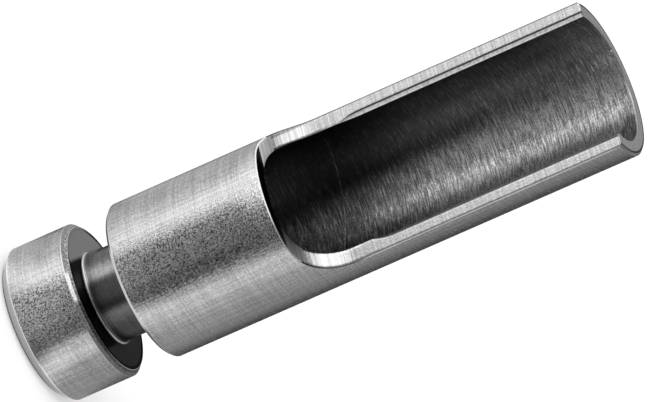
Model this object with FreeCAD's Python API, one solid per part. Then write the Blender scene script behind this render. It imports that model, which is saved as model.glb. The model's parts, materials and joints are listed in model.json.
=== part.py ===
"""Nibbler punch: one piece of hardened tool steel, turned, bored and milled.

The punch stands on its head. +Z runs along its axis from the head to the cutting end, the origin is
the centre of the head's flat face, and the half-tube of the cutting end opens towards -Y.
From the bottom up it is a button head, a narrow neck that the driving fork holds, a solid guide
shank, and a half-tube whose crescent end does the cutting. Chips leave through the half-tube.
"""
import FreeCAD, Part
import math
import os

# Turned outside, in millimetres.
shank_diameter = 10.0
head_diameter = 9.95
neck_diameter = 5.75
head_height = 4.7
neck_length = 2.7
body_length = 31.4

# Edges of the turned outside.
head_end_chamfer = 0.66
head_end_chamfer_softening = 0.12
head_shoulder_chamfer = 0.31
neck_root_radius = 0.3
shank_shoulder_chamfer = 0.22
cutting_edge_break = 0.14

# Blind bore from the cutting end, with the cone that the drill leaves.
tube_wall = 1.05
bore_depth = 25.0
drill_point_angle = 118.0
bore_mouth_break = 0.07

# Window milled along one side, which leaves two flat rails.
solid_shank_length = 10.4
rail_height_above_axis = 0.9
window_corner_radius = 3.25

# Bevel ground along the bore side of each rail, running in on the arc of its wheel.
rail_bevel_leg = 0.32
rail_bevel_start = 4.3
bevel_wheel_radius = 6.0
bevel_cutter_depth = 1.0
bevel_direction = 225.0

# Small nick in the bore's rim at the cutting end.
nick_radius = 0.14
nick_angle = 136.0

# How far a cutting tool runs past the metal.
tool_overrun = 2.0

shank_radius = shank_diameter / 2
head_radius = head_diameter / 2
neck_radius = neck_diameter / 2
bore_radius = shank_radius - tube_wall

head_top = head_height
shoulder_level = head_top + neck_length
end_level = shoulder_level + body_length
window_start = shoulder_level + solid_shank_length
rail_start = window_start + window_corner_radius
bore_floor = end_level - bore_depth

AXIS = FreeCAD.Vector(0, 0, 1)
ORIGIN = FreeCAD.Vector(0, 0, 0)


def on_side(radius, level):
    """Point of a half section: distance from the axis, and height."""
    return FreeCAD.Vector(radius, 0, level)


def line(start, end):
    return Part.LineSegment(start, end).toShape()


def arc(start, middle, end):
    return Part.Arc(start, middle, end).toShape()


def polyline(points):
    return [line(start, end) for start, end in zip(points, points[1:])]


def rounded_corner(before, corner, after, rounding):
    """Start, middle and end of the arc that rounds a corner and is tangent to both its sides."""
    to_before = (before - corner).normalize()
    to_after = (after - corner).normalize()
    half_angle = to_before.getAngle(to_after) / 2
    bisector = (to_before + to_after).normalize()
    along = rounding / math.tan(half_angle)
    centre_distance = rounding / math.sin(half_angle)
    start = corner + to_before * along
    middle = corner + bisector * (centre_distance - rounding)
    end = corner + to_after * along
    return start, middle, end


def revolved(corners):
    """Solid of revolution about the axis from the corners (radius, level, rounding) of a half section."""
    points = [on_side(radius, level) for radius, level, rounding in corners]
    edges = []
    here = points[0]
    for index in range(1, len(corners)):
        rounding = corners[index][2]
        if rounding:
            start, middle, end = rounded_corner(points[index - 1], points[index], points[index + 1], rounding)
            edges.append(line(here, start))
            edges.append(arc(start, middle, end))
            here = end
        else:
            edges.append(line(here, points[index]))
            here = points[index]
    edges.append(line(here, points[0]))
    return Part.Face(Part.Wire(edges)).revolve(ORIGIN, AXIS, 360)


def turned_blank():
    """The outside as it comes off the lathe: head, neck and shank.

    The shank's wall has a ring where the rails start, so the plain half-tube is a face of its own.
    """
    soft = head_end_chamfer_softening
    return revolved([
        (0, 0, 0),
        (head_radius - head_end_chamfer, 0, soft),
        (head_radius, head_end_chamfer, soft),
        (head_radius, head_top - head_shoulder_chamfer, 0),
        (head_radius - head_shoulder_chamfer, head_top, 0),
        (neck_radius, head_top, neck_root_radius),
        (neck_radius, shoulder_level, neck_root_radius),
        (shank_radius - shank_shoulder_chamfer, shoulder_level, 0),
        (shank_radius, shoulder_level + shank_shoulder_chamfer, 0),
        (shank_radius, rail_start, 0),
        (shank_radius, end_level - cutting_edge_break, 0),
        (shank_radius - cutting_edge_break, end_level, 0),
        (0, end_level, 0),
    ])


def bore():
    """Blind bore with its drill point and the broken edge of its mouth."""
    drill_tip = bore_floor - bore_radius / math.tan(math.radians(drill_point_angle / 2))
    mouth_radius = bore_radius + bore_mouth_break
    return revolved([
        (0, drill_tip, 0),
        (bore_radius, bore_floor, 0),
        (bore_radius, end_level - bore_mouth_break, 0),
        (mouth_radius, end_level, 0),
        (mouth_radius, end_level + tool_overrun, 0),
        (0, end_level + tool_overrun, 0),
    ])


def window():
    """Everything in front of the rails, down to the rounded end of the window."""
    rail_y = -rail_height_above_axis
    outer_y = -shank_radius - tool_overrun
    corner_y = rail_y - window_corner_radius
    corner_z = rail_start
    half = window_corner_radius * math.sqrt(0.5)

    def at(y, z):
        return FreeCAD.Vector(-shank_diameter, y, z)

    edges = [
        line(at(outer_y, window_start), at(corner_y, window_start)),
        arc(at(corner_y, window_start), at(corner_y + half, corner_z - half), at(rail_y, corner_z)),
        line(at(rail_y, corner_z), at(rail_y, end_level + tool_overrun)),
        line(at(rail_y, end_level + tool_overrun), at(outer_y, end_level + tool_overrun)),
        line(at(outer_y, end_level + tool_overrun), at(outer_y, window_start)),
    ]
    face = Part.Face(Part.Wire(edges))
    return face.extrude(FreeCAD.Vector(2 * shank_diameter, 0, 0))


def rail_bevel():
    """Cutter for the bore side of the rail at +X: a flat that starts on the wheel's arc.

    It is drawn with the bevel's flat in the plane x = 0 and its depth along +x, then turned so
    that +x points out of the rail's corner, halfway between the two faces.
    """
    reach = bevel_cutter_depth
    flat_from = window_start + rail_bevel_start + run_in_length()
    arc_low = flat_from - math.sqrt(bevel_wheel_radius ** 2 - (bevel_wheel_radius - reach) ** 2)
    half_angle = math.acos(1 - reach / bevel_wheel_radius) / 2
    arc_middle = on_side(
        bevel_wheel_radius * (1 - math.cos(half_angle)),
        flat_from - bevel_wheel_radius * math.sin(half_angle),
    )
    top = end_level + tool_overrun
    edges = polyline([
        on_side(0, flat_from),
        on_side(0, top),
        on_side(reach, top),
        on_side(reach, arc_low),
    ])
    edges.append(arc(on_side(reach, arc_low), arc_middle, on_side(0, flat_from)))
    cutter = Part.Face(Part.Wire(edges)).extrude(FreeCAD.Vector(0, 2 * reach, 0))
    cutter.translate(FreeCAD.Vector(0, -reach, 0))
    cutter.rotate(ORIGIN, AXIS, bevel_direction)
    corner_x = math.sqrt(bore_radius ** 2 - rail_height_above_axis ** 2)
    inset = rail_bevel_leg / 2
    cutter.translate(FreeCAD.Vector(corner_x + inset, -rail_height_above_axis + inset, 0))
    return cutter


def run_in_length():
    """Length along the rail over which the wheel's arc reaches the bevel's full depth."""
    depth = rail_bevel_leg * math.sqrt(0.5)
    return math.sqrt(bevel_wheel_radius ** 2 - (bevel_wheel_radius - depth) ** 2)


def rim_nick():
    """Small ball-shaped nick where the bore meets the flat of the cutting end."""
    angle = math.radians(nick_angle)
    centre = FreeCAD.Vector(
        bore_radius * math.cos(angle),
        bore_radius * math.sin(angle),
        end_level,
    )
    return Part.makeSphere(nick_radius, centre)


def punch():
    """The finished punch, one solid."""
    solid = turned_blank().cut(bore()).cut(window())
    right_bevel = rail_bevel()
    left_bevel = right_bevel.mirror(ORIGIN, FreeCAD.Vector(1, 0, 0))
    solid = solid.cut(right_bevel).cut(left_bevel).cut(rim_nick())
    return solid.Solids[0]


os.makedirs("parts", exist_ok=True)
punch().exportStep("parts/punch.step")
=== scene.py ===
"""Nibbler punch: the dressed punch, its finishes, and the small studio that it stands in.

The punch stands on its head at the origin, with +Z along its axis and the window towards -Y.
Lengths in the classes are in millimetres, and Blender's are in metres.
"""
import json
import logging
import math
from dataclasses import dataclass, field
from enum import Enum
from itertools import chain

import bpy
from mathutils import Matrix, Vector

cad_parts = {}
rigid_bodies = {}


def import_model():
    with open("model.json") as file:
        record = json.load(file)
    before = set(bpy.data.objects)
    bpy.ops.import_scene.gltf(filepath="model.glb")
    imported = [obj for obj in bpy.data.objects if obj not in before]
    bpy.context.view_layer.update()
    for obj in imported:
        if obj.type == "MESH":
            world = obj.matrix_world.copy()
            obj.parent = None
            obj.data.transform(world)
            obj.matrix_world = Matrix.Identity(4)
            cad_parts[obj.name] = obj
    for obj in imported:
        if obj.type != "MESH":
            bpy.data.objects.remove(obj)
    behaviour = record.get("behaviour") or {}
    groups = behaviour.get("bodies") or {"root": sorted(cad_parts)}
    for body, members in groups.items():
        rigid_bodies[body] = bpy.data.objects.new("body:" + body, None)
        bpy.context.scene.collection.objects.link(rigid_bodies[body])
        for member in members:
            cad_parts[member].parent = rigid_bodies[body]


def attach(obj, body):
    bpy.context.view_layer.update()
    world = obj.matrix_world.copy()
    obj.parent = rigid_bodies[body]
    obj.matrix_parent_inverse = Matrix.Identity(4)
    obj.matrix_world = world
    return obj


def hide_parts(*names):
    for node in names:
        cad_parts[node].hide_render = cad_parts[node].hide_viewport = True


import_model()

log = logging.getLogger("nibbler_punch")

MM = 0.001
PHOTO_WIDTH = 649
SENSOR_WIDTH = 36.0
FULL_TURN = 2 * math.pi
RIGHT_ANGLE = math.pi / 2
DIAGONAL = math.sqrt(0.5)

# Level of the cutting end.
END_LEVEL = 38.8

# Noise in the finishes, and the lightest tone that a finish may reach.
NOISE_DETAIL = 1.5
NOISE_CONTRAST = 3.0
SCRATCH_FROM = 0.65
SPECK_CONTRAST = 3.5
DARKEST_SPECK = -0.95
LIGHTEST_SPECK = 0.9
LIGHTEST_TONE = 0.95

# Turn of the brushed highlight, as a share of a full turn.
QUARTER_TURN = 0.25

# Points nearer than this, in millimetres, are one point: between two skins, and round the nick.
SKIN_MERGE = 0.00002
NICK_MERGE = 0.0005

Row = list[Vector]
Pair = tuple[float, float]
Triple = tuple[float, float, float]
Socket = bpy.types.NodeSocket
Layers = tuple[tuple[Socket, float], ...]
Tones = tuple[Pair, ...]

# Directions in a profile (radius, level).
OUTWARD = (1.0, 0.0)
INWARD = (-1.0, 0.0)
UP = (0.0, 1.0)
DOWN = (0.0, -1.0)
OUT_UP = (DIAGONAL, DIAGONAL)
OUT_DOWN = (DIAGONAL, -DIAGONAL)
IN_UP = (-DIAGONAL, DIAGONAL)
IN_DOWN = (-DIAGONAL, -DIAGONAL)

# Directions along which the painted light and shade in the finishes change, and along which the bore's tool
# mark runs.
ACROSS = (0.9026, 0.4305, 0.0)
TOWARD = (0.4305, -0.9026, 0.0)
UPWARD = (0.0, 0.0, 1.0)
TOOL_MARK = (0.2437, 0.1162, 1.0)
BORE_TILT = (0.9026, 0.4305, 0.06)
MOUTH_LOW = (0.9026, 0.4305, 1.0)
MOUTH_HIGH = (-0.9026, -0.4305, 1.0)


class Region(Enum):
    """The surfaces of the punch that are finished differently, several of them with painted light and shade.
    """

    GROUND = "ground_outside"
    TURNED = "turned_faces"
    CHAMFER = "rough_chamfer"
    CREST = "chamfer_crest"
    FACE = "polished_face"
    BRIM = "face_brim"
    NECK = "turned_neck"
    ROOT = "neck_root"
    RIM = "shank_rim"
    MILLED = "milled_window"
    FOOT = "fillet_foot"
    BEVEL = "ground_bevel"
    BORE = "drilled_bore"
    END = "ground_end"
    MOUTH = "bright_mouth"
    # Painted glint: a bright tone that is not metal.
    GLINT = "painted_glint_edges"
    EDGE = "broken_edges"
    # A dull tone with painted shade.
    DULL = "dull_shaded_edges"
    DARK = "dark_edges"


# A skin in one of these finishes is shaded smoothly with its neighbours.
SOFT_REGIONS = (Region.CREST, Region.BRIM, Region.FOOT, Region.ROOT, Region.MOUTH, Region.GLINT,
                Region.EDGE, Region.DULL, Region.DARK)


def deselect_all() -> None:
    """Leaves no object selected, so that an operator acts on what it is given."""
    if bpy.context.object and bpy.context.object.mode != "OBJECT":
        bpy.ops.object.mode_set(mode="OBJECT")
    bpy.ops.object.select_all(action="DESELECT")


def select_only(*pieces: bpy.types.Object) -> None:
    """Selects the given pieces and makes the first one active.

    Args:
        pieces: The objects that the next operator acts on.
    """
    deselect_all()
    for piece in pieces:
        piece.select_set(True)
    bpy.context.view_layer.objects.active = pieces[0]


def edit_all() -> None:
    """Goes into edit mode on the active piece, with all of its mesh selected."""
    bpy.ops.object.mode_set(mode="EDIT")
    bpy.ops.mesh.select_all(action="SELECT")


def blend(start: float, end: float, share: float) -> float:
    """Value at a share of the way from start to end."""
    return start + (end - start) * share


def on_circle(radius: float, angle: float, level: float) -> Vector:
    """Point at an angle round the punch's axis, with the angle in radians."""
    return Vector((radius * math.cos(angle), radius * math.sin(angle), level))


def first_past(values: list[float], limit: float) -> int:
    """Index of the first value above a limit."""
    return next(index for index, value in enumerate(values) if value > limit)


@dataclass
class Graph:
    """Short ways to add and join the nodes of one shader."""

    tree: bpy.types.NodeTree

    @property
    def shader(self) -> bpy.types.Node:
        """The main shader of a material."""
        return self.tree.nodes["Principled BSDF"]

    def add(self, kind: str, **options: object) -> bpy.types.Node:
        """Adds a node.

        Args:
            kind: The node's type.
            options: Values for the node's own properties.

        Returns:
            The new node.
        """
        node = self.tree.nodes.new(kind)
        for name, value in options.items():
            setattr(node, name, value)
        return node

    def feed(self, node: bpy.types.Node, socket: str | int, value: object) -> None:
        """Links a socket to an input, or writes a plain value there.

        Args:
            node: The node that has the input.
            socket: The input's name or number.
            value: A socket or a plain value.
        """
        if isinstance(value, Socket):
            self.tree.links.new(value, node.inputs[socket])
        else:
            node.inputs[socket].default_value = value

    def combine(self, operation: str, first: object, second: object) -> Socket:
        """Result of a sum, product or other operation on two values or sockets.

        Args:
            operation: The operation's name.
            first: A socket or a number.
            second: A socket or a number.

        Returns:
            The socket that gives the result.
        """
        node = self.add("ShaderNodeMath", operation=operation)
        self.feed(node, 0, first)
        self.feed(node, 1, second)
        return node.outputs[0]

    def spread(self, value: object, low: float, high: float, to_low: float, to_high: float,
               shape: str = "LINEAR") -> Socket:
        """Maps the range from low to high onto the range from to_low to to_high.

        Args:
            value: The socket to map.
            low: Start of its range.
            high: End of its range.
            to_low: What the start becomes.
            to_high: What the end becomes.
            shape: How the values between run, such as LINEAR or SMOOTHSTEP.

        Returns:
            The mapped value's socket.
        """
        node = self.add("ShaderNodeMapRange", interpolation_type=shape)
        ends = {"From Min": low, "From Max": high, "To Min": to_low, "To Max": to_high}
        for name, number in ends.items():
            node.inputs[name].default_value = number
        self.feed(node, "Value", value)
        return node.outputs["Result"]


def new_material(name: str) -> tuple[bpy.types.Material, Graph]:
    """Makes a node material.

    Args:
        name: The material's name.

    Returns:
        The new material, and its graph.
    """
    made = bpy.data.materials.new(name)
    made.use_nodes = True
    return made, Graph(made.node_tree)


@dataclass(frozen=True)
class Shade:
    """A slow change of tone across a finish, from start to end in millimetres along one direction: mostly
    painted light and shade.
    """

    direction: Triple
    start: float
    end: float
    start_tone: float
    end_tone: float


@dataclass(frozen=True)
class Speckle:
    """Fine light and dark specks, strongest in a band along the punch.

    The band's middle is at centre. The strength is tone within inner of it and tone_outside past outer.
    """

    tone: float
    tone_outside: float
    centre: float
    inner: float
    outer: float
    scale: float = 12000.0


@dataclass(frozen=True)
class Finish:
    """One finish of the steel: its colour, polish, tool lines and grain, and the light and shade painted
    into its colour.
    """

    region: Region
    colour: float
    roughness: float
    metal: float = 1.0
    grazing_tint: float = 1.0
    anisotropy: float = 0.0
    line_scale: Triple = (200.0, 200.0, 9000.0)
    line_depth: float = 0.0
    line_tone: float = 0.0
    cross_scale: Triple = (9000.0, 9000.0, 160.0)
    cross_depth: float = 0.0
    cross_tone: float = 0.0
    grain_scale: float = 6500.0
    grain_depth: float = 0.0
    grain_tone: float = 0.0
    scratch_scale: Triple = (1500.0, 1500.0, 11000.0)
    scratch_tone: float = 0.0
    texture_fade: Shade | None = None
    roughness_spread: float = 0.03
    # Painted light and shade: each multiplies the colour along one direction.
    shades: tuple[Shade, ...] = ()
    speckle: Speckle | None = None

    def material(self) -> bpy.types.Material:
        """Builds the node material of this finish.

        Returns:
            The new material, which reads Object coordinates only.
        """
        made, graph = new_material(self.region.value)
        shader = graph.shader
        shader.inputs["Metallic"].default_value = self.metal
        shader.inputs["Specular Tint"].default_value = (self.grazing_tint,) * 3 + (1,)
        place = graph.add("ShaderNodeTexCoord").outputs["Object"]
        lines = self._noise(graph, place, self.line_scale)
        cross = self._noise(graph, place, self.cross_scale)
        grain = self._noise(graph, place, (self.grain_scale,) * 3)
        self._bump(graph, ((lines, self.line_depth), (cross, self.cross_depth), (grain, self.grain_depth)))
        layers = ((lines, self.line_tone), (cross, self.cross_tone), (grain, self.grain_tone))
        self._paint(graph, place, layers)
        rough = graph.spread(grain, 0, 1, self.roughness - self.roughness_spread,
                             self.roughness + self.roughness_spread)
        graph.feed(shader, "Roughness", rough)
        if self.anisotropy:
            tangent = graph.add("ShaderNodeTangent", direction_type="RADIAL", axis="Z")
            graph.feed(shader, "Tangent", tangent.outputs["Tangent"])
            shader.inputs["Anisotropic"].default_value = self.anisotropy
            shader.inputs["Anisotropic Rotation"].default_value = QUARTER_TURN
        return made

    def _paint(self, graph: Graph, place: Socket, layers: Layers) -> None:
        """Works out the colour: the texture first, then the painted light and shade, then the specks.

        Args:
            graph: The material's nodes.
            place: The socket that gives Object coordinates.
            layers: Each noise, with how strongly it shows in the colour.
        """
        texture = 1.0
        for layer, share in layers:
            if share:
                factor = graph.spread(layer, 0, 1, 1 - share, 1 + share)
                texture = graph.combine("MULTIPLY", factor, texture)
        if self.scratch_tone:
            noise = self._noise(graph, place, self.scratch_scale)
            scratches = graph.spread(noise, SCRATCH_FROM, 1.0, 1.0, 1.0 + self.scratch_tone)
            texture = graph.combine("MULTIPLY", scratches, texture)
        if self.texture_fade:
            change = graph.combine("SUBTRACT", texture, 1.0)
            faded = graph.combine("MULTIPLY", change, self._shade(graph, place, self.texture_fade))
            texture = graph.combine("ADD", faded, 1.0)
        tone = self.colour
        if isinstance(texture, Socket):
            tone = graph.combine("MULTIPLY", texture, tone)
        for shade in self.shades:
            tone = graph.combine("MULTIPLY", self._shade(graph, place, shade), tone)
        if self.speckle:
            tone = graph.combine("MULTIPLY", self._specks(graph, place, self.speckle), tone)
        if isinstance(tone, Socket):
            graph.feed(graph.shader, "Base Color", graph.combine("MINIMUM", tone, LIGHTEST_TONE))
        else:
            graph.feed(graph.shader, "Base Color", (tone, tone, tone, 1))

    @staticmethod
    def _noise(graph: Graph, place: Socket, scale: Triple, contrast: float = NOISE_CONTRAST) -> Socket:
        """Adds noise that is stretched by its scale along each axis.

        Args:
            graph: The material's nodes.
            place: The socket that gives Object coordinates.
            scale: Cells per metre along x, y and z.
            contrast: Contrast of the noise about its middle value.

        Returns:
            The noise, spread from 0 to 1.
        """
        mapping = graph.add("ShaderNodeMapping")
        graph.feed(mapping, "Scale", scale)
        graph.feed(mapping, "Vector", place)
        noise = graph.add("ShaderNodeTexNoise")
        graph.feed(noise, "Vector", mapping.outputs["Vector"])
        graph.feed(noise, "Scale", 1.0)
        graph.feed(noise, "Detail", NOISE_DETAIL)
        half = 0.5 / contrast
        return graph.spread(noise.outputs["Fac"], 0.5 - half, 0.5 + half, 0, 1)

    @staticmethod
    def _bump(graph: Graph, layers: Layers) -> None:
        """Chains one bump node for each layer that has a depth.

        Args:
            graph: The material's nodes.
            layers: Each noise, with its depth in millimetres.
        """
        normal = None
        for height, depth in layers:
            if not depth:
                continue
            bump = graph.add("ShaderNodeBump")
            graph.feed(bump, "Distance", depth * MM)
            graph.feed(bump, "Height", height)
            if normal:
                graph.feed(bump, "Normal", normal)
            normal = bump.outputs["Normal"]
        if normal:
            graph.feed(graph.shader, "Normal", normal)

    @staticmethod
    def _along(graph: Graph, place: Socket, direction: Triple) -> Socket:
        """Distance along a direction of the punch, in metres.

        Args:
            graph: The material's nodes.
            place: The socket that gives Object coordinates.
            direction: The direction, as x, y and z.

        Returns:
            The distance's socket.
        """
        along = graph.add("ShaderNodeVectorMath", operation="DOT_PRODUCT")
        graph.feed(along, 0, place)
        graph.feed(along, 1, direction)
        return along.outputs["Value"]

    def _shade(self, graph: Graph, place: Socket, shade: Shade) -> Socket:
        """The factor that a shade, most often painted light and shade, puts on a tone."""
        return graph.spread(self._along(graph, place, shade.direction), shade.start * MM, shade.end * MM,
                            shade.start_tone, shade.end_tone, "SMOOTHSTEP")

    def _specks(self, graph: Graph, place: Socket, speckle: Speckle) -> Socket:
        """The factor that the specks put on the colour.

        Args:
            graph: The material's nodes.
            place: The socket that gives Object coordinates.
            speckle: How strong the specks are, and where.

        Returns:
            The factor's socket.
        """
        off_centre = graph.combine("SUBTRACT", self._along(graph, place, ACROSS), speckle.centre * MM)
        distance = graph.combine("ABSOLUTE", off_centre, 0.0)
        strength = graph.spread(distance, speckle.inner * MM, speckle.outer * MM, speckle.tone,
                                speckle.tone_outside, "SMOOTHSTEP")
        noise = self._noise(graph, place, (speckle.scale,) * 3, SPECK_CONTRAST)
        specks = graph.spread(noise, 0, 1, DARKEST_SPECK, LIGHTEST_SPECK)
        return graph.combine("ADD", graph.combine("MULTIPLY", specks, strength), 1.0)


@dataclass
class Finishes:
    """All finishes of the punch, each made once."""

    made: dict[Region, bpy.types.Material] = field(default_factory=dict)

    def build(self) -> "Finishes":
        """Makes the material of every region.

        Returns:
            The finishes themselves.
        """
        # Painted shade and light in the bore: dark on one side and near the window's end, lighter towards
        # the mouth, with a dark corner at the mouth. The two TOOL_MARK shades draw a scratch line.
        bore_shades = (
            Shade(BORE_TILT, 0.62, 2.32, 0.20, 1.12),
            Shade(ACROSS, 0.9, 1.5, 1.0, 0.76),
            Shade(ACROSS, 2.0, 2.7, 1.0, 1.4),
            Shade(UPWARD, 17.0, 19.5, 1.0, 0.56),
            Shade(UPWARD, 20.5, 27.5, 1.0, 1.9),
            Shade(TOOL_MARK, 19.69, 19.75, 1.0, 2.4),
            Shade(TOOL_MARK, 19.77, 19.83, 1.0, 0.42),
            Shade(UPWARD, 26.0, 38.0, 1.0, 1.05),
            Shade(MOUTH_LOW, 40.2, 41.6, 1.0, 0.45),
            Shade(MOUTH_HIGH, 37.5, 41.0, 1.0, 2.0),
        )
        # Painted shade: the head's flat face is dark except for a strip along one side.
        face_shade = Shade(ACROSS, -3.05, -2.7, 1.0, 0.07)
        # Painted shade on the face's brim, darkest on the side turned away from the camera.
        brim_shades = (face_shade, Shade(TOWARD, -2.6, -1.0, 0.05, 1.0))
        # Painted shade over part of the head's chamfer.
        chamfer_shades = (Shade(ACROSS, -0.7, -0.1, 1.0, 0.5),)
        # Painted highlight in a patch on the chamfer's crest, with painted shade on both sides of it.
        crest_shades = (Shade(ACROSS, -2.7, -1.9, 0.25, 1.0), Shade(ACROSS, -0.9, -0.3, 1.0, 0.15))
        # Painted highlight in a band along one side of the neck, and painted shade beside it.
        neck_shades = (Shade(ACROSS, -2.4, -1.8, 1.2, 2.0), Shade(ACROSS, -1.5, -1.0, 1.0, 0.42))
        # Painted shade on the milled window: one rail darker, a dark line along that rail's outer edge, and
        # the end wall and lowest floor dark.
        milled_shades = (Shade(ACROSS, -4.2, 4.2, 0.82, 0.95), Shade(ACROSS, -4.80, -4.66, 0.42, 1.0),
                         Shade(UPWARD, 17.86, 17.98, 0.12, 1.0))
        # Painted shade on the fillet foot: light on one side, darkest near the middle, lighter again on the
        # other.
        foot_shades = (Shade(ACROSS, -2.0, 0.5, 1.0, 0.08), Shade(ACROSS, 0.6, 2.8, 1.0, 5.0))
        # Painted shade on the dull edges: dark on one side, light on the other, and darker low down near the
        # window's end.
        dull_shades = (Shade(ACROSS, -3.0, 3.0, 0.3, 1.8), Shade(UPWARD, 20.6, 22.2, 0.15, 1.0))
        # Painted shade at both ends of the shank rim's painted highlight.
        rim_shades = (Shade(ACROSS, -2.9, -2.1, 0.10, 1.0), Shade(ACROSS, 2.2, 3.0, 1.0, 0.12))
        for finish in (
            Finish(Region.GROUND, 0.60, 0.30, anisotropy=0.6, line_depth=0.003, line_tone=0.14,
                   cross_depth=0.002, cross_tone=0.14, grain_depth=0.004, grain_tone=0.08,
                   roughness_spread=0.12, scratch_scale=(14000.0, 14000.0, 14000.0), scratch_tone=0.35,
                   speckle=Speckle(tone=0.85, tone_outside=0.14, centre=-0.6, inner=1.2, outer=2.3)),
            Finish(Region.TURNED, 0.47, 0.34, line_depth=0.002, grain_depth=0.004, grain_tone=0.05),
            Finish(Region.CHAMFER, 0.44, 0.34, line_depth=0.004, line_tone=0.2, grain_scale=8500.0,
                   grain_depth=0.008, grain_tone=0.7, roughness_spread=0.15, shades=chamfer_shades),
            # Not metal: the crest's bright tone is a painted highlight.
            Finish(Region.CREST, 0.95, 0.45, metal=0.0, grain_scale=8500.0, grain_tone=0.4,
                   shades=crest_shades),
            Finish(Region.FACE, 0.60, 0.12, grazing_tint=0.5, shades=(face_shade,)),
            Finish(Region.BRIM, 0.60, 0.12, grazing_tint=0.4, shades=brim_shades),
            Finish(Region.NECK, 0.17, 0.20, anisotropy=0.5, line_depth=0.003, line_tone=0.1,
                   grain_tone=0.15, shades=neck_shades),
            Finish(Region.ROOT, 0.80, 0.14),
            Finish(Region.MILLED, 0.88, 0.26, grazing_tint=0.2, line_depth=0.005, line_tone=0.22,
                   grain_depth=0.003, grain_tone=0.05, shades=milled_shades),
            # Not metal: the fillet foot's grey is painted tone; the real foot is milled steel like its
            # neighbours.
            Finish(Region.FOOT, 0.42, 0.34, metal=0.0, line_tone=0.35, shades=foot_shades),
            Finish(Region.BEVEL, 0.94, 0.32, line_scale=(2500.0, 2500.0, 5000.0), line_depth=0.004,
                   line_tone=0.30, grain_depth=0.002),
            Finish(Region.BORE, 0.46, 0.38, anisotropy=0.4, line_scale=(1100.0, 1100.0, 13000.0),
                   line_depth=0.001, line_tone=0.50, grain_scale=12000.0, grain_depth=0.001,
                   grain_tone=0.40, scratch_tone=1.3, texture_fade=Shade(BORE_TILT, 0.2, 1.8, 0.55, 1.0),
                   shades=bore_shades),
            Finish(Region.END, 0.62, 0.30, grain_depth=0.003, grain_tone=0.12),
            # Painted shade on one side of the bright mouth.
            Finish(Region.MOUTH, 0.94, 0.30, shades=(Shade(ACROSS, 1.0, 3.0, 1.0, 0.5),)),
            # Not metal: a painted glint along the window's outer edge, with painted shade on one side.
            Finish(Region.GLINT, 0.95, 0.45, metal=0.0, shades=(Shade(ACROSS, -0.9, 0.4, 1.0, 0.30),)),
            # Not metal: a painted highlight along the shank's chamfer at the neck.
            Finish(Region.RIM, 0.95, 0.45, metal=0.0, shades=rim_shades),
            Finish(Region.EDGE, 0.90, 0.24),
            # A dull tone with painted shade on the edge breaks and the narrow bevel.
            Finish(Region.DULL, 0.52, 0.34, shades=dull_shades),
            # Painted shade: a dark tone for the head's lower chamfer, the bevel's rounding and the cutting
            # end's outer line.
            Finish(Region.DARK, 0.18, 0.34, grazing_tint=0.5),
        ):
            self.made[finish.region] = finish.material()
            log.info("finish %s: colour %.2f, roughness %.2f", finish.region.value, finish.colour,
                     finish.roughness)
        return self


def lay_skin(region: Region, rows: list[Row], finishes: Finishes) -> bpy.types.Object:
    """Lays a grid of quads on a surface.

    Args:
        region: The surface's finish.
        rows: Points in millimetres, with the same number in each row.
        finishes: Where the material comes from.

    Returns:
        The skin, a mesh with one quad between each two rows and columns.
    """
    deselect_all()
    columns = len(rows[0]) - 1
    bpy.ops.mesh.primitive_grid_add(x_subdivisions=columns, y_subdivisions=len(rows) - 1, size=1)
    skin = bpy.context.active_object
    skin.name = region.value
    for vertex, point in zip(skin.data.vertices, chain.from_iterable(rows)):
        vertex.co = point * MM
    skin.data.materials.append(finishes.made[region])
    return skin


def turned_skin(region: Region, profile: list[Pair], steps: int, finishes: Finishes) -> bpy.types.Object:
    """Turns a profile about the axis, ring by ring.

    Args:
        region: The surface's finish.
        profile: Points (radius, level) in millimetres. A last radius of zero closes the skin.
        steps: Corners of each ring.
        finishes: Where the material comes from.

    Returns:
        The turned skin.
    """
    deselect_all()
    radius, level = profile[0]
    bpy.ops.mesh.primitive_circle_add(vertices=steps, radius=radius * MM, location=(0, 0, level * MM))
    skin = bpy.context.active_object
    bpy.ops.object.transform_apply(location=True)
    edit_all()
    for next_radius, next_level in profile[1:]:
        rise = (0, 0, (next_level - level) * MM)
        bpy.ops.mesh.extrude_edges_move(TRANSFORM_OT_translate={"value": rise})
        if next_radius:
            grow = next_radius / radius
            bpy.ops.transform.resize(value=(grow, grow, 1), center_override=(0, 0, 0))
        else:
            bpy.ops.mesh.merge(type="CENTER")
        radius, level = next_radius, next_level
    bpy.ops.object.mode_set(mode="OBJECT")
    skin.name = region.value
    skin.data.materials.append(finishes.made[region])
    return skin


def corner_arc(corner: Pair, toward: Pair, leaving: Pair, rounding: float, steps: int) -> list[Pair]:
    """Points of the arc that rounds a corner of a profile.

    Args:
        corner: The sharp corner (radius, level).
        toward: Unit direction back along the side that comes in.
        leaving: Unit direction along the side that goes out.
        rounding: Radius of the arc.
        steps: Sides of the arc.

    Returns:
        The arc's points, with both its ends.
    """
    here, back, out = Vector(corner), Vector(toward), Vector(leaving)
    half = back.angle(out) / 2
    centre = here + (back + out).normalized() * (rounding / math.sin(half))
    start = here + back * (rounding / math.tan(half))
    end = here + out * (rounding / math.tan(half))
    first, last = start - centre, end - centre
    points = []
    for index in range(steps + 1):
        side = first.slerp(last, index / steps).normalized() * rounding
        points.append(tuple(centre + side))
    return points


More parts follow.
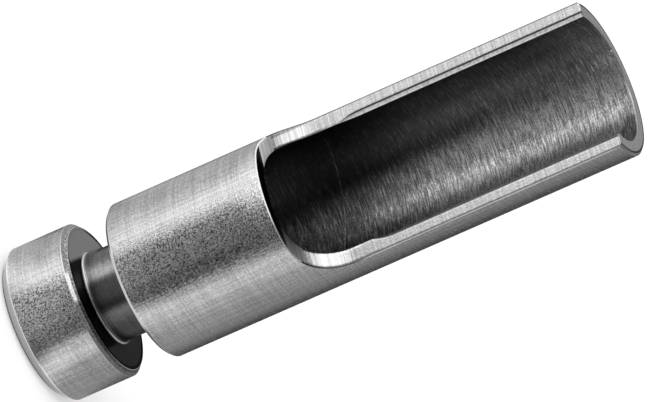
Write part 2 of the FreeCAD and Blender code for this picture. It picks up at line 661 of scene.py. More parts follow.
@dataclass
class TurnedBlank:
    """The turned outside: head, neck, shoulder and the full round of the shank."""

    shank_radius: float = 5.0
    head_radius: float = 4.975
    neck_radius: float = 2.875
    head_top: float = 4.7
    shoulder_level: float = 7.4
    end_level: float = END_LEVEL
    head_end_chamfer: float = 0.66
    head_shoulder_chamfer: float = 0.31
    shank_chamfer: float = 0.22
    end_chamfer: float = 0.14
    neck_root: float = 0.3
    softening: float = 0.12
    edge_round: float = 0.05
    # Sizes of bands that carry painted light and shade: the face's brim, and the shares of the lower
    # chamfer's toe and of the upper chamfer's crest.
    brim_width: float = 0.22
    toe_share: float = 0.12
    crest_share: float = 0.6
    root_line: tuple[int, int] = (3, 5)
    foot_ring: float = 2.0
    head_ring: float = 2.5
    face_ring: float = 3.9
    shoulder_ring: float = 4.0
    shank_rings: tuple[float, ...] = (10.0, 12.6, 15.2)
    soft_steps: int = 4
    edge_steps: int = 3
    root_steps: int = 8
    steps: int = 256

    def radius_at(self, level: float) -> float:
        """Radius of the shank's outside at a level near or above the window's start."""
        return self.shank_radius - max(0.0, level - (self.end_level - self.end_chamfer))

    def build(self, window_start: float, finishes: Finishes) -> list[bpy.types.Object]:
        """Turns every band of the outside up to the window's start.

        Args:
            window_start: Level at which the skins of the half-tube take over.
            finishes: The punch's finishes.

        Returns:
            The turned skins, from the head's flat face up.
        """
        head, top, shoulder = self.head_radius, self.head_top, self.shoulder_level
        low_arc = self._softened((head - self.head_end_chamfer, 0), INWARD, OUT_UP)
        high_arc = self._softened((head, self.head_end_chamfer), IN_DOWN, UP)
        toe = tuple(Vector(low_arc[-1]).lerp(Vector(high_arc[0]), self.toe_share))
        rim_low = self._eased((head, top - self.head_shoulder_chamfer), DOWN, IN_UP)
        rim_high = self._eased((head - self.head_shoulder_chamfer, top), OUT_DOWN, INWARD)
        crest = tuple(Vector(rim_low[-1]).lerp(Vector(rim_high[0]), self.crest_share))
        brim = (rim_high[-1][0] - self.brim_width, top)
        root_low = corner_arc((self.neck_radius, top), OUTWARD, UP, self.neck_root, self.root_steps)
        root_high = corner_arc((self.neck_radius, shoulder), DOWN, OUTWARD, self.neck_root, self.root_steps)
        line_from, line_to = self.root_line
        shank = self.shank_radius
        break_low = self._eased((shank - self.shank_chamfer, shoulder), INWARD, OUT_UP)
        break_high = self._eased((shank, shoulder + self.shank_chamfer), IN_DOWN, UP)
        rings = [(shank, level) for level in self.shank_rings]
        # Several bands carry painted light and shade in their finishes: the dark toe and lower chamfer, the
        # crest, the brim, the face, the neck and the rim.
        bands = [
            (Region.TURNED, [low_arc[0], (self.foot_ring, 0), (0, 0)]),
            (Region.DARK, low_arc),
            (Region.DARK, [low_arc[-1], toe]),
            (Region.TURNED, [toe, high_arc[0]]),
            (Region.EDGE, high_arc),
            (Region.GROUND, [high_arc[-1], (head, self.head_ring), rim_low[0]]),
            (Region.EDGE, rim_low),
            (Region.CREST, [rim_low[-1], crest]),
            (Region.CHAMFER, [crest, rim_high[0]]),
            (Region.EDGE, rim_high),
            (Region.BRIM, [rim_high[-1], brim]),
            (Region.FACE, [brim, (self.face_ring, top), root_low[0]]),
            (Region.FACE, root_low[:line_from + 1]),
            (Region.ROOT, root_low[line_from:line_to + 1]),
            (Region.NECK, root_low[line_to:]),
            (Region.NECK, [root_low[-1], root_high[0]]),
            (Region.NECK, root_high),
            (Region.TURNED, [root_high[-1], (self.shoulder_ring, shoulder), break_low[0]]),
            (Region.EDGE, break_low),
            (Region.RIM, [break_low[-1], break_high[0]]),
            (Region.EDGE, break_high),
            (Region.GROUND, [break_high[-1], *rings, (shank, window_start)]),
        ]
        skins = [turned_skin(region, profile, self.steps, finishes) for region, profile in bands]
        log.info("turned outside: %d bands up to %.2f mm", len(skins), window_start)
        return skins

    def _softened(self, corner: Pair, toward: Pair, leaving: Pair) -> list[Pair]:
        """Arc at a corner of the head's lower chamfer."""
        return corner_arc(corner, toward, leaving, self.softening, self.soft_steps)

    def _eased(self, corner: Pair, toward: Pair, leaving: Pair) -> list[Pair]:
        """Small arc at a corner of one of the other chamfers."""
        return corner_arc(corner, toward, leaving, self.edge_round, self.edge_steps)


@dataclass
class Bore:
    """The blind bore, from its drill point to the broken edge of its mouth."""

    radius: float = 4.05
    floor_level: float = 13.8
    point_angle: float = 118.0
    mouth_break: float = 0.05
    end_level: float = END_LEVEL
    cone_rings: int = 4
    wall_rings: tuple[float, ...] = (14.8, 15.8, 16.8)

    def radius_at(self, level: float) -> float:
        """Radius of the bore at a level above its floor."""
        return self.radius + max(0.0, level - (self.end_level - self.mouth_break))

    @property
    def tip_level(self) -> float:
        """Level of the drill point's tip."""
        return self.floor_level - self.radius / math.tan(math.radians(self.point_angle / 2))


@dataclass
class Window:
    """The milled window: its end wall, rounded end and two flat rails.

    A run is the distance along the window's profile from the start of the rounded end: it is
    negative on the flat end wall, and past the quarter circle it goes up along the rail.
    """

    start: float = 17.8
    rail_y: float = -0.9
    corner_radius: float = 3.25
    edge_break: float = 0.06
    rail_edge_break: float = 0.045
    bore_edge_break: float = 0.012
    narrow_from: float = 0.3
    narrow_over: float = 0.4
    bevel_leg: float = 0.26
    bevel_drop: float = 0.9
    bevel_rounding: float = 0.15
    bevel_flat_from: float = 23.732
    bevel_wheel: float = 6.0
    # Share of the outer edge that carries the painted glint.
    bright_edge_share: float = 1 / 3
    # Where the fillet foot's painted tone starts and ends, as shares of the quarter circle.
    foot_shares: Pair = (0.145, 0.4)

    @property
    def quarter(self) -> float:
        """Length of the rounded end's quarter circle."""
        return self.corner_radius * RIGHT_ANGLE

    @property
    def corner_y(self) -> float:
        """Where the flat end wall meets the rounded end."""
        return self.rail_y - self.corner_radius

    @property
    def rail_start(self) -> float:
        """Level at which the rounded end has become a straight rail."""
        return self.start + self.corner_radius

    @property
    def low_edge(self) -> float:
        """Level of the outside's last full ring, just below the window."""
        return self.start - self.edge_break

    def profile(self, run: float) -> Triple:
        """Place and slope of the window's profile.

        Args:
            run: Distance along the profile.

        Returns:
            y, level, and slope in radians, which is 0 on the end wall and a right angle on the rail.
        """
        if run <= 0:
            return self.corner_y + run, self.start, 0.0
        if run >= self.quarter:
            return self.rail_y, self.rail_start + run - self.quarter, RIGHT_ANGLE
        slope = run / self.corner_radius
        return (self.corner_y + self.corner_radius * math.sin(slope),
                self.rail_start - self.corner_radius * math.cos(slope), slope)

    def point(self, x: float, run: float) -> Vector:
        """Point of the window's floor at x and a run."""
        y, level, _ = self.profile(run)
        return Vector((x, y, level))

    def bevel_at(self, level: float) -> float:
        """Width of the bore-side bevel on the rail, or of the plain edge break before it.

        Args:
            level: A level on the rail. The bevel runs in along the arc of its wheel.

        Returns:
            The width on the rail's flat.
        """
        below = max(0.0, self.bevel_flat_from - level)
        if below >= self.bevel_wheel:
            return self.bore_edge_break
        arc = self.bevel_wheel - math.sqrt(self.bevel_wheel ** 2 - below ** 2)
        return max(self.bore_edge_break, self.bevel_leg - math.sqrt(2) * arc)

    @property
    def bevel_slope(self) -> float:
        """Angle between the rail and the bevel, in radians."""
        return math.atan(self.bevel_drop)

    def edge_break_at(self, run: float) -> float:
        """Width of the broken outer edge, which gets narrower towards the rails."""
        share = min(1.0, max(0.0, (run / self.quarter - self.narrow_from) / self.narrow_over))
        return blend(self.edge_break, self.rail_edge_break, share)

    def rounding_at(self, level: float) -> float:
        """Radius of the rounding between the bevel and the rail, which grows with the bevel."""
        return self.bevel_rounding * self.bevel_at(level) / self.bevel_leg


@dataclass(frozen=True)
class EdgePoint:
    """Where an edge of the window is broken: one point on the wall and one on the window's floor."""

    angle: float
    level: float
    x: float
    run: float


@dataclass
class Punch:
    """The whole punch as one closed mesh."""

    blank: TurnedBlank = field(default_factory=TurnedBlank)
    bore: Bore = field(default_factory=Bore)
    window: Window = field(default_factory=Window)
    front_steps: int = 24
    fillet_steps: int = 40
    ribbon_columns: int = 6
    bevel_columns: int = 4
    lead_angles: Pair = (1.2, 2.4)
    run_in_rows: tuple[float, ...] = (21.7, 22.1, 22.3, 22.5, 22.7, 22.9, 23.1, 23.3, 23.52)
    rail_rows: int = 12
    rail_row_height: float = 1.2
    end_rows: tuple[float, ...] = (38.0, 38.66, 38.75, END_LEVEL)
    # Rows of the cutting end's face along its outer edge that are painted dark, as shade.
    shaded_rim_rows: int = 2
    crisp_angle: float = 55.0
    normal_weight: int = 60
    nick_radius: float = 0.14
    nick_angle: float = 136.0

    @property
    def back_steps(self) -> int:
        """Columns of the skins round the back of the half-tube."""
        return self.blank.steps - 2 * self.front_steps

    def rail_levels(self) -> list[float]:
        """Levels of the rows along the rails, closer where the bevel runs in and at the end.

        Returns:
            The levels, from the first row above the rounded end up to the cutting end.
        """
        along = [self.window.bevel_flat_from + self.rail_row_height * step for step in range(self.rail_rows)]
        return [*self.run_in_rows, *along, *self.end_rows]

    def runs_before_bore(self) -> list[float]:
        """Runs from the end wall's last column to just before the bore breaks through."""
        lead = [self.window.corner_radius * math.radians(angle) for angle in self.lead_angles]
        return [self._front_run(self.front_steps)] + lead

    def runs_after_bore(self) -> list[float]:
        """Runs from the bore's break-through to the cutting end.

        Returns:
            The runs, closest together at the break-through.
        """
        window = self.window
        breakthrough = math.asin((-self.bore.radius - window.corner_y) / window.corner_radius)
        slopes = [blend(breakthrough, RIGHT_ANGLE, (step / self.fillet_steps) ** 2)
                  for step in range(self.fillet_steps + 1)]
        return ([window.corner_radius * slope for slope in slopes]
                + [window.quarter + level - window.rail_start for level in self.rail_levels()])

    def _front_angle(self, step: int) -> float:
        """Angle of a column of the end wall, counted from the middle of the window."""
        return -RIGHT_ANGLE + FULL_TURN * step / self.blank.steps

    def _front_run(self, step: int) -> float:
        """Run of a column of the end wall, which is negative."""
        return self.blank.shank_radius * math.sin(self._front_angle(step)) - self.window.corner_y

    def _front_corner(self, x: float, run: float) -> EdgePoint:
        """The outer edge's first point beside the end wall, on the ring below the window."""
        return EdgePoint(self._front_angle(self.front_steps), self.window.low_edge, x, run)

    def outer_edge(self, run: float) -> EdgePoint:
        """Breaks the edge between the outside and the window's floor at a run.

        Args:
            run: Distance along the window's profile.

        Returns:
            The two ends of the broken edge.
        """
        y, level, slope = self.window.profile(run)
        radius = self.blank.radius_at(level)
        x = math.sqrt(max(0.0, radius ** 2 - y ** 2))
        outward = Vector((x, y, 0)) / radius
        return self._broken(x, run, level, slope, radius, outward, self.window.edge_break_at(run))

    def bore_edge(self, run: float) -> EdgePoint:
        """Breaks or bevels the edge between the bore and the window's floor at a run.

        Args:
            run: Distance along the window's profile.

        Returns:
            The two ends of the broken edge.
        """
        y, level, slope = self.window.profile(run)
        radius = self.bore.radius_at(level)
        x = math.sqrt(max(0.0, radius ** 2 - y ** 2))
        if run < self.window.quarter:
            inward = Vector((-x, -y, 0)) / radius
            return self._broken(x, run, level, slope, radius, inward, self.window.bore_edge_break)
        leg = self.window.bevel_at(level)
        bore_y = y + leg * self.window.bevel_drop
        tangent = self.window.rounding_at(level) * math.tan(self.window.bevel_slope / 2)
        angle = math.atan2(bore_y, math.sqrt(radius ** 2 - bore_y ** 2))
        return EdgePoint(angle, level, x + leg + tangent, run)

    def bevel_row(self, edge: EdgePoint) -> Row:
        """Points from the bore over the bevel and its rounded outer edge to the window's floor.

        Args:
            edge: The two ends of the bevel or broken edge.

        Returns:
            The points, one for each column and one more.
        """
        wall, floor = self.on_wall(edge, False), self.on_floor(edge)
        columns = self.bevel_columns
        if edge.level < self.window.rail_start:
            return [wall.lerp(floor, column / columns) for column in range(columns + 1)]
        rounding = self.window.rounding_at(edge.level)
        centre = floor + Vector((0, rounding, 0))
        row = [wall]
        for step in range(columns - 1, 0, -1):
            angle = -RIGHT_ANGLE - self.window.bevel_slope * step / (columns - 1)
            row.append(centre + on_circle(rounding, angle, 0))
        return row + [floor]

    @staticmethod
    def _broken(x: float, run: float, level: float, slope: float, radius: float,
                wall_normal: Vector, width: float) -> EdgePoint:
        """Moves away from a sharp edge along the wall and along the window's floor.

        Args:
            x: The edge's x.
            run: The edge's run along the window's profile.
            level: The edge's level.
            slope: Slope of the window's profile there.
            radius: Radius of the wall.
            wall_normal: The wall's normal, out of the metal.
            width: How far to move along each surface.

        Returns:
            The two ends of the broken edge.
        """
        floor_normal = Vector((0, -math.sin(slope), math.cos(slope)))
        along_floor = Vector((0, math.cos(slope), math.sin(slope)))
        lean = wall_normal.dot(floor_normal)
        on_wall = -(floor_normal - lean * wall_normal).normalized() * width
        on_floor = -(wall_normal - lean * floor_normal).normalized() * width
        y = math.copysign(math.sqrt(max(0.0, radius ** 2 - x ** 2)), -1)
        angle = math.atan2(y, x)
        around = Vector((-math.sin(angle), math.cos(angle), 0))
        return EdgePoint(angle + on_wall.dot(around) / radius, level + on_wall.z,
                         max(0.0, x + on_floor.x), run + on_floor.dot(along_floor))

    def wall_row(self, edge: EdgePoint, back_level: float, outside: bool) -> Row:
        """One row of a wall skin, from the right edge of the window round the back to the left one.

        Args:
            edge: The row's ends.
            back_level: The row's level at the back of the half-tube.
            outside: Whether the row is on the outside or in the bore.

        Returns:
            The row's points.
        """
        row = []
        for column in range(self.back_steps + 1):
            share = column / self.back_steps
            angle = blend(edge.angle, math.pi - edge.angle, share)
            level = blend(edge.level, back_level, math.sin(math.pi * share))
            radius = self.blank.radius_at(level) if outside else self.bore.radius_at(level)
            row.append(on_circle(radius, angle, level))
        return row

    def on_wall(self, edge: EdgePoint, outside: bool) -> Vector:
        """The broken edge's point on the outside or in the bore."""
        radius = self.blank.radius_at(edge.level) if outside else self.bore.radius_at(edge.level)
        return on_circle(radius, edge.angle, edge.level)

    def on_floor(self, edge: EdgePoint) -> Vector:
        """The broken edge's point on the window's floor."""
        return self.window.point(edge.x, edge.run)

    def build(self, finishes: Finishes) -> bpy.types.Object:
        """Models the punch from its skins and closes it.

        Args:
            finishes: The punch's finishes.

        Returns:
            The finished punch.
        """
        skins = self.blank.build(self.window.low_edge, finishes)
        before, after = self.runs_before_bore(), self.runs_after_bore()
        outer = [self.outer_edge(run) for run in before + after]
        inner = [self.bore_edge(run) for run in after]
        skins += self._outside(outer, len(before), finishes)
        skins += self._bore(inner, finishes)
        skins += self._floor(outer, inner, before, finishes)
        skins += self._end_face(outer[-1], inner[-1], finishes)
        punch = self._join(skins)
        self._cut_nick(punch)
        self._finish_shading(punch)
        log.info("punch body: %d faces", len(punch.data.polygons))
        return punch

    def _back_levels(self, edges: list[EdgePoint], fillet_rows: int, low: float) -> list[float]:
        """Levels of the rows at the back of the half-tube.

        Args:
            edges: The rows' ends beside the window.
            fillet_rows: How many rows end at or before the rail's start.
            low: The first row's level.

        Returns:
            The levels, evenly spaced up to the rail's start and then level with the rows' ends.
        """
        beside = [blend(low, self.window.rail_start, row / (fillet_rows - 1)) for row in range(fillet_rows)]
        return beside + [edge.level for edge in edges[fillet_rows:]]

    def _outside(self, outer: list[EdgePoint], lead: int, finishes: Finishes) -> list[bpy.types.Object]:
        """The outside of the half-tube, and the chamfer of its cutting end.

        Args:
            outer: The broken outer edge, row by row.
            lead: How many rows come before the bore breaks through.
            finishes: The punch's finishes.

        Returns:
            The two skins.
        """
        outer = [self._front_corner(0, 0)] + outer[1:]
        levels = self._back_levels(outer, lead + self.fillet_steps + 1, self.window.low_edge)
        rows = [self.wall_row(edge, level, True) for edge, level in zip(outer, levels)]
        return [lay_skin(Region.GROUND, rows[:-2], finishes), lay_skin(Region.TURNED, rows[-3:], finishes)]

    def _bore(self, inner: list[EdgePoint], finishes: Finishes) -> list[bpy.types.Object]:
        """The bore's wall with its drill point, and the broken edge of its mouth.

        Args:
            inner: The bevelled edge at the bore, row by row.
            finishes: The punch's finishes.

        Returns:
            The two skins.
        """
        bore = self.bore
        closed = []
        for ring in range(bore.cone_rings + 1):
            share = ring / bore.cone_rings
            closed.append(self._ring(bore.radius * share, blend(bore.tip_level, bore.floor_level, share)))
        closed += [self._ring(bore.radius, level) for level in bore.wall_rings]
        levels = self._back_levels(inner, self.fillet_steps + 1, inner[0].level)
        rows = closed + [self.wall_row(edge, level, False) for edge, level in zip(inner, levels)]
        return [lay_skin(Region.BORE, rows[:-1], finishes), lay_skin(Region.MOUTH, rows[-2:], finishes)]

    def _ring(self, radius: float, level: float) -> Row:
        """A closed row of the bore, from the middle of the window all the way round.

        Args:
            radius: The ring's radius.
            level: The ring's level.

        Returns:
            The row's points, with the first one again at its end.
        """
        row = []
        for column in range(self.back_steps + 1):
            angle = blend(-RIGHT_ANGLE, 3 * RIGHT_ANGLE, column / self.back_steps)
            row.append(on_circle(radius, angle, level))
        return row

    def _floor(self, outer: list[EdgePoint], inner: list[EdgePoint], before: list[float],
               finishes: Finishes) -> list[bpy.types.Object]:
        """The window's floor on both sides, with its broken outer edge and the bevel at the bore.

        Args:
            outer: The broken outer edge, row by row.
            inner: The bevelled edge at the bore, row by row.
            before: Runs of the rows before the bore breaks through.
            finishes: The punch's finishes.

        Returns:
            The skins of both sides.
        """
        window = self.window
        front = [self.outer_edge(self._front_run(step)) for step in range(self.front_steps)]
        outer = [self._front_corner(outer[0].x, outer[0].run)] + outer[1:]
        edges = front + outer
        starts = [(0.0, edge.run) for edge in front]
        starts += [(0.0, outer[0].run)] + [(0.0, run) for run in before[1:]]
        starts += [(edge.x, edge.run) for edge in inner]
        floor = [self._floor_row(x, run, edge) for (x, run), edge in zip(starts, edges)]
        outer_break = [[self.on_floor(edge), self.on_wall(edge, True)] for edge in edges]
        bevel = [self.bevel_row(edge) for edge in inner]
        runs = [edge.run for edge in edges]
        bright = first_past(runs, window.quarter * window.bright_edge_share)
        foot, leg = (first_past(runs, window.quarter * share) for share in window.foot_shares)
        narrow = first_past([window.bevel_at(edge.level) for edge in inner], window.bore_edge_break)
        # The foot, the glint, the dull and dark edges, and the milled floor carry painted light and shade in
        # their finishes.
        parts = (
            (Region.MILLED, floor[:foot]),
            (Region.FOOT, floor[foot - 1:leg]),
            (Region.MILLED, floor[leg - 1:]),
            (Region.GLINT, outer_break[:bright]),
            (Region.DULL, outer_break[bright - 1:]),
            (Region.DULL, bevel[:narrow]),
            (Region.BEVEL, [row[:2] for row in bevel[narrow - 1:]]),
            (Region.DARK, [row[1:] for row in bevel[narrow - 1:]]),
        )
        skins = []
        for side in (1, -1):
            flip = Matrix.Diagonal((side, 1, 1))
            for region, rows in parts:
                skins.append(lay_skin(region, [[flip @ point for point in row] for row in rows], finishes))
        return skins

    def _floor_row(self, x: float, run: float, edge: EdgePoint) -> Row:
        """One row of the window's floor, from its inner side out to the broken outer edge.

        Args:
            x: Where the row starts.
            run: Run of the row's start.
            edge: The outer edge at the row's end.

        Returns:
            The row's points.
        """
        shares = [column / self.ribbon_columns for column in range(self.ribbon_columns + 1)]
        return [self.window.point(blend(x, edge.x, share), blend(run, edge.run, share)) for share in shares]

    def _end_face(self, outer: EdgePoint, inner: EdgePoint, finishes: Finishes) -> list[bpy.types.Object]:
        """The crescent-shaped face of the cutting end, with a line of painted shade along its outer edge.

        Args:
            outer: The outer edge at the cutting end.
            inner: The bore's edge at the cutting end.
            finishes: The punch's finishes.

        Returns:
            The two skins.
        """
        floor = [self.window.point(blend(inner.x, outer.x, 1 - column / self.ribbon_columns), outer.run)
                 for column in range(self.ribbon_columns)]
        right_end = [self.on_wall(outer, True), *floor, *reversed(self.bevel_row(inner))]
        outside = self.wall_row(outer, outer.level, True)
        inside = self.wall_row(inner, inner.level, False)
        last = len(right_end) - 1
        rows = []
        for index, end_point in enumerate(right_end):
            row = [out.lerp(within, index / last) for out, within in zip(outside, inside)]
            row[0] = end_point
            row[-1] = Vector((-end_point.x, end_point.y, end_point.z))
            rows.append(row)
        # The rows along the outer edge are painted dark, as shade.
        shaded_rim = self.shaded_rim_rows
        return [lay_skin(Region.DARK, rows[:shaded_rim + 1], finishes),
                lay_skin(Region.END, rows[shaded_rim:], finishes)]

    def _join(self, skins: list[bpy.types.Object]) -> bpy.types.Object:
        """Joins the skins, merges their shared edges and points all faces outwards.

        Args:
            skins: All skins of the punch.

        Returns:
            The punch, as one closed mesh.
        """
        select_only(*skins)
        bpy.ops.object.join()
        punch = bpy.context.active_object
        punch.name = "punch_body"
        punch.data.name = "punch_body"
        edit_all()
        bpy.ops.mesh.remove_doubles(threshold=SKIN_MERGE * MM)
        bpy.ops.mesh.dissolve_degenerate(threshold=SKIN_MERGE * MM)
        bpy.ops.mesh.select_all(action="SELECT")
        bpy.ops.mesh.normals_make_consistent(inside=False)
        bpy.ops.object.mode_set(mode="OBJECT")
        return punch

    def _cut_nick(self, punch: bpy.types.Object) -> None:
        """Cuts the small ball-shaped nick into the bore's rim.

        Args:
            punch: The closed mesh.
        """
        place = on_circle(self.bore.radius, math.radians(self.nick_angle), self.bore.end_level)
        deselect_all()
        bpy.ops.mesh.primitive_ico_sphere_add(subdivisions=3, radius=self.nick_radius * MM,
                                              location=place * MM)
        ball = bpy.context.active_object
        ball.data.materials.append(punch.data.materials[0])
        select_only(punch)
        cut = punch.modifiers.new("nick", "BOOLEAN")
        cut.operation = "DIFFERENCE"
        cut.solver = "EXACT"
        cut.object = ball
        bpy.ops.object.modifier_apply(modifier=cut.name)
        bpy.data.objects.remove(ball)
        edit_all()
        bpy.ops.mesh.remove_doubles(threshold=NICK_MERGE * MM)
        bpy.ops.object.mode_set(mode="OBJECT")

    def _finish_shading(self, punch: bpy.types.Object) -> None:
        """Keeps the edges between two finishes crisp, and smooths all else, the broken edges too.

        Args:
            punch: The closed mesh.
        """
        select_only(punch)
        bpy.ops.object.shade_smooth_by_angle(angle=math.radians(self.crisp_angle))
        mesh = punch.data
        soft = {mesh.materials.find(region.value) for region in SOFT_REGIONS}
        owners: dict[tuple[int, int], set[int]] = {}
        for face in mesh.polygons:
            for key in face.edge_keys:
                owners.setdefault(key, set()).add(face.material_index)
        sharp = mesh.attributes.get("sharp_edge") or mesh.attributes.new("sharp_edge", "BOOLEAN", "EDGE")
        for edge in mesh.edges:
            met = owners.get(edge.key, set())
            if len(met) > 1 and not soft & met:
                sharp.data[edge.index].value = True
        weighted = punch.modifiers.new("weighted", "WEIGHTED_NORMAL")
        weighted.keep_sharp = True
        weighted.weight = self.normal_weight
        bpy.ops.object.modifier_apply(modifier=weighted.name)


@dataclass
class PhotoCamera:
    """The camera of the photograph, fitted to the punch's outlines."""

    azimuth: float = -64.5
    elevation: float = 16.518
    roll: float = 66.228
    distance: float = 684.95
    focal_pixels: float = 11383.2
    aim: Triple = (0.0, 0.0, 7.62)
    shift_right: float = 10.6395
    shift_up: float = 4.733

    def build(self) -> bpy.types.Object:
        """Adds the camera and makes it the scene's.

        Returns:
            The camera.
        """
        azimuth, elevation = math.radians(self.azimuth), math.radians(self.elevation)
        toward = on_circle(math.cos(elevation), azimuth, math.sin(elevation))
        level_right = Vector((-math.sin(azimuth), math.cos(azimuth), 0))
        level_up = toward.cross(level_right)
        roll = math.radians(self.roll)
        right = level_right * math.cos(roll) + level_up * math.sin(roll)
        up = level_up * math.cos(roll) - level_right * math.sin(roll)
        place = Vector(self.aim) + right * self.shift_right + up * self.shift_up + toward * self.distance
        bpy.ops.object.camera_add()
        camera = bpy.context.active_object
        turn = Matrix((right, up, toward)).transposed().to_4x4()
        camera.matrix_world = Matrix.Translation(place * MM) @ turn
        camera.data.sensor_width = SENSOR_WIDTH
        camera.data.lens = self.focal_pixels * SENSOR_WIDTH / PHOTO_WIDTH
        bpy.context.scene.camera = camera
        return camera


@dataclass(frozen=True)
class CardRing:
    """One ring of the reflection card: its size, and the soft cards that stand round it.

    Each card is given by the azimuth of its middle, in degrees, and its tone. The tone goes over
    softly from each card to the next one.
    """

    radius: float
    level: float
    tones: Tones

    def tone(self, azimuth: float) -> float:
        """Tone of the ring at an azimuth.

        Args:
            azimuth: The azimuth, from -180 to 180 degrees.

        Returns:
            The tone, where 1 is white.
        """
        for (low, tone_low), (high, tone_high) in zip(self.tones, self.tones[1:]):
            if low <= azimuth <= high:
                share = (azimuth - low) / (high - low)
                return blend(tone_low, tone_high, share * share * (3 - 2 * share))
        return self.tones[-1][1]


@dataclass
class ReflectionCard:
    """A card that only reflections see: a sheet round the punch that goes on as a dark dome.

    It stands for a photographer's cards: a bright one on the camera's left near -125 degrees, one on
    its right near -20, a darker gap between them where the camera is, and a dark back.
    """

    reach: float = 320.0
    inner_radius: float = 5.3
    near_reach: float = 21.0
    far_from: float = 29.0
    far_reach: float = 140.0
    lift: float = 0.05
    columns: int = 180
    near: Tones = (
        (-180, 0.55), (-155, 0.6), (-122, 1.2), (-101, 0.52), (-70, 0.4), (-45, 0.15), (-27, 1.0), (3, 0.4),
        (38, 0.37), (75, 0.1), (150, 0.06), (175, 0.52), (180, 0.55))
    far: Tones = (
        (-180, 0.57), (-166, 0.6), (-132, 1.32), (-100, 0.2), (-70, 0.2), (-50, 0.05), (-41, 0.1),
        (-22, 0.9), (-3, 0.8), (15, 0.45), (40, 0.35), (90, 0.05), (127, 0.05), (152, 0.57), (180, 0.57))
    horizon: Tones = (
        (-180, 0.6), (-144, 1.0), (-122, 1.15), (-100, 0.25), (-55, 0.1), (-20, 0.6), (20, 0.4), (60, 0.25),
        (90, 0.18), (115, 0.3), (148, 0.5), (180, 0.6))
    low_sky: Tones = (
        (-180, 0.8), (-144, 1.3), (-121, 1.4), (-90, 0.3), (-55, 0.15), (-10, 0.4), (30, 0.35), (70, 0.3),
        (115, 0.42), (150, 0.6), (180, 0.8))
    middle_sky: Tones = (
        (-180, 1.0), (-145, 1.4), (-121, 1.5), (-90, 0.45), (-60, 0.15), (0, 0.16), (52, 0.4), (90, 0.28),
        (120, 0.3), (150, 0.55), (180, 1.0))
    high_sky: Tones = (
        (-180, 0.7), (-145, 1.3), (-112, 1.0), (-85, 0.2), (-64, 0.07), (25, 0.1), (115, 0.12), (140, 0.35),
        (160, 0.55), (180, 0.7))
    zenith: Tones = ((-180, 0.10), (180, 0.10))

    def rings(self) -> list[CardRing]:
        """Lays out the card.

        Returns:
            All rings, from the sheet's inner edge up to the dome's top.
        """
        sheet = {self.inner_radius: self.near, self.near_reach: self.near, self.far_from: self.far,
                 self.far_reach: self.far, self.reach: self.horizon}
        dome = {17.0: self.low_sky, 38.0: self.middle_sky, 58.0: self.high_sky, 76.0: self.zenith,
                89.9: self.zenith}
        laid = [CardRing(radius, self.lift, tones) for radius, tones in sheet.items()]
        for elevation, tones in dome.items():
            angle = math.radians(elevation)
            laid.append(CardRing(self.reach * math.cos(angle), self.reach * math.sin(angle), tones))
        return laid

    def build(self) -> bpy.types.Object:
        """Adds the card.

        Returns:
            The card, with its tone as a point attribute.
        """
        rings = self.rings()
        points, tones = [], []
        for ring in rings:
            for column in range(self.columns + 1):
                azimuth = blend(-180.0, 180.0, column / self.columns)
                points.append(on_circle(ring.radius, math.radians(azimuth), ring.level))
                tones.append(ring.tone(azimuth))
        deselect_all()
        bpy.ops.mesh.primitive_grid_add(x_subdivisions=self.columns, y_subdivisions=len(rings) - 1, size=1)
        card = bpy.context.active_object
        card.name = "reflection_card"
        for vertex, point in zip(card.data.vertices, points):
            vertex.co = point * MM
        attribute = card.data.attributes.new("tone", "FLOAT", "POINT")
        attribute.data.foreach_set("value", tones)
        card.data.materials.append(self._glow())
        card.visible_camera = False
        card.visible_diffuse = False
        card.visible_shadow = False
        log.info("reflection card: %d rings", len(rings))
        return card

    @staticmethod
    def _glow() -> bpy.types.Material:
        """Makes the card's own light, as strong as its tone.

        Returns:
            The card's material.
        """
        made, graph = new_material("reflection_card")
        graph.tree.nodes.remove(graph.shader)
        tone = graph.add("ShaderNodeAttribute", attribute_name="tone")
        glow = graph.add("ShaderNodeEmission")
        graph.feed(glow, "Strength", tone.outputs["Fac"])
        graph.feed(graph.tree.nodes["Material Output"], "Surface", glow.outputs["Emission"])
        return made


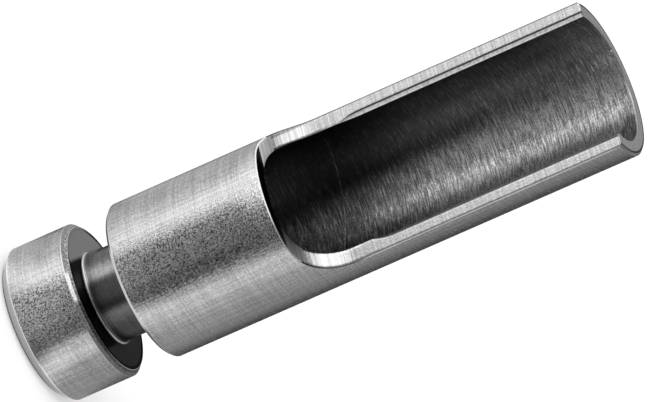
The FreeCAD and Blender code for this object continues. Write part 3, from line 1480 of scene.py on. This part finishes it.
@dataclass
class Studio:
    """The pale floor and the soft light that the punch stands in."""

    floor_size: float = 4000.0
    floor_colour: float = 0.8
    floor_roughness: float = 0.9
    floor_glow: float = 0.36
    floor_drop: float = 0.01
    world_light: float = 0.75
    lamp_place: Triple = (-300.0, -500.0, 600.0)
    lamp_size: float = 700.0
    lamp_power: float = 2.4

    def build(self) -> None:
        """Adds the floor, the world, the lamp and the reflection card."""
        self._world()
        self._floor()
        self._lamp()
        ReflectionCard().build()

    def _world(self) -> None:
        """A grey world that lights the scene, and is white where the camera or a reflection sees it."""
        world = bpy.data.worlds.new("studio")
        bpy.context.scene.world = world
        world.use_nodes = True
        graph = Graph(world.node_tree)
        background = graph.tree.nodes["Background"]
        strength = graph.spread(self._seen_by_eye(graph), 0, 1, self.world_light, 1.0)
        graph.feed(background, "Color", (1, 1, 1, 1))
        graph.feed(background, "Strength", strength)

    @staticmethod
    def _seen_by_eye(graph: Graph) -> Socket:
        """A socket that is 1 for camera, glossy and transmission rays.

        Args:
            graph: The nodes of the world or a material.

        Returns:
            The socket, which is 0 for all other rays.
        """
        path = graph.add("ShaderNodeLightPath")
        seen = graph.combine("MAXIMUM", path.outputs["Is Camera Ray"], path.outputs["Is Glossy Ray"])
        return graph.combine("MAXIMUM", seen, path.outputs["Is Transmission Ray"])

    def _floor(self) -> None:
        """The pale floor, which keeps the punch's soft shadow."""
        deselect_all()
        bpy.ops.mesh.primitive_plane_add(size=self.floor_size * MM, location=(0, 0, -self.floor_drop * MM))
        floor = bpy.context.active_object
        floor.name = "floor"
        made, graph = new_material("floor_paint")
        shader = graph.shader
        glow = graph.combine("MULTIPLY", self._seen_by_eye(graph), self.floor_glow)
        graph.feed(shader, "Base Color", (self.floor_colour,) * 3 + (1,))
        graph.feed(shader, "Roughness", self.floor_roughness)
        graph.feed(shader, "Specular IOR Level", 0.0)
        graph.feed(shader, "Emission Color", (1, 1, 1, 1))
        graph.feed(shader, "Emission Strength", glow)
        floor.data.materials.append(made)

    def _lamp(self) -> bpy.types.Object:
        """Adds the square softbox that faces the punch and gives the floor its soft shadow.

        Returns:
            The lamp.
        """
        deselect_all()
        bpy.ops.object.light_add(type="AREA", location=Vector(self.lamp_place) * MM)
        lamp = bpy.context.active_object
        lamp.name = "key"
        lamp.data.size = self.lamp_size * MM
        lamp.data.energy = self.lamp_power
        lamp.rotation_euler = Vector(self.lamp_place).to_track_quat("Z", "Y").to_euler()
        lamp.visible_glossy = False
        return lamp


def main() -> None:
    """Builds the camera, the studio and the punch."""
    logging.basicConfig(level=logging.INFO, format="%(name)s: %(message)s")
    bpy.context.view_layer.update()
    bpy.context.scene.view_settings.view_transform = "Standard"
    PhotoCamera().build()
    Studio().build()
    finishes = Finishes().build()
    punch = Punch().build(finishes)
    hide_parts("punch")
    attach(punch, "root")


if __name__ == "__main__":
    main()
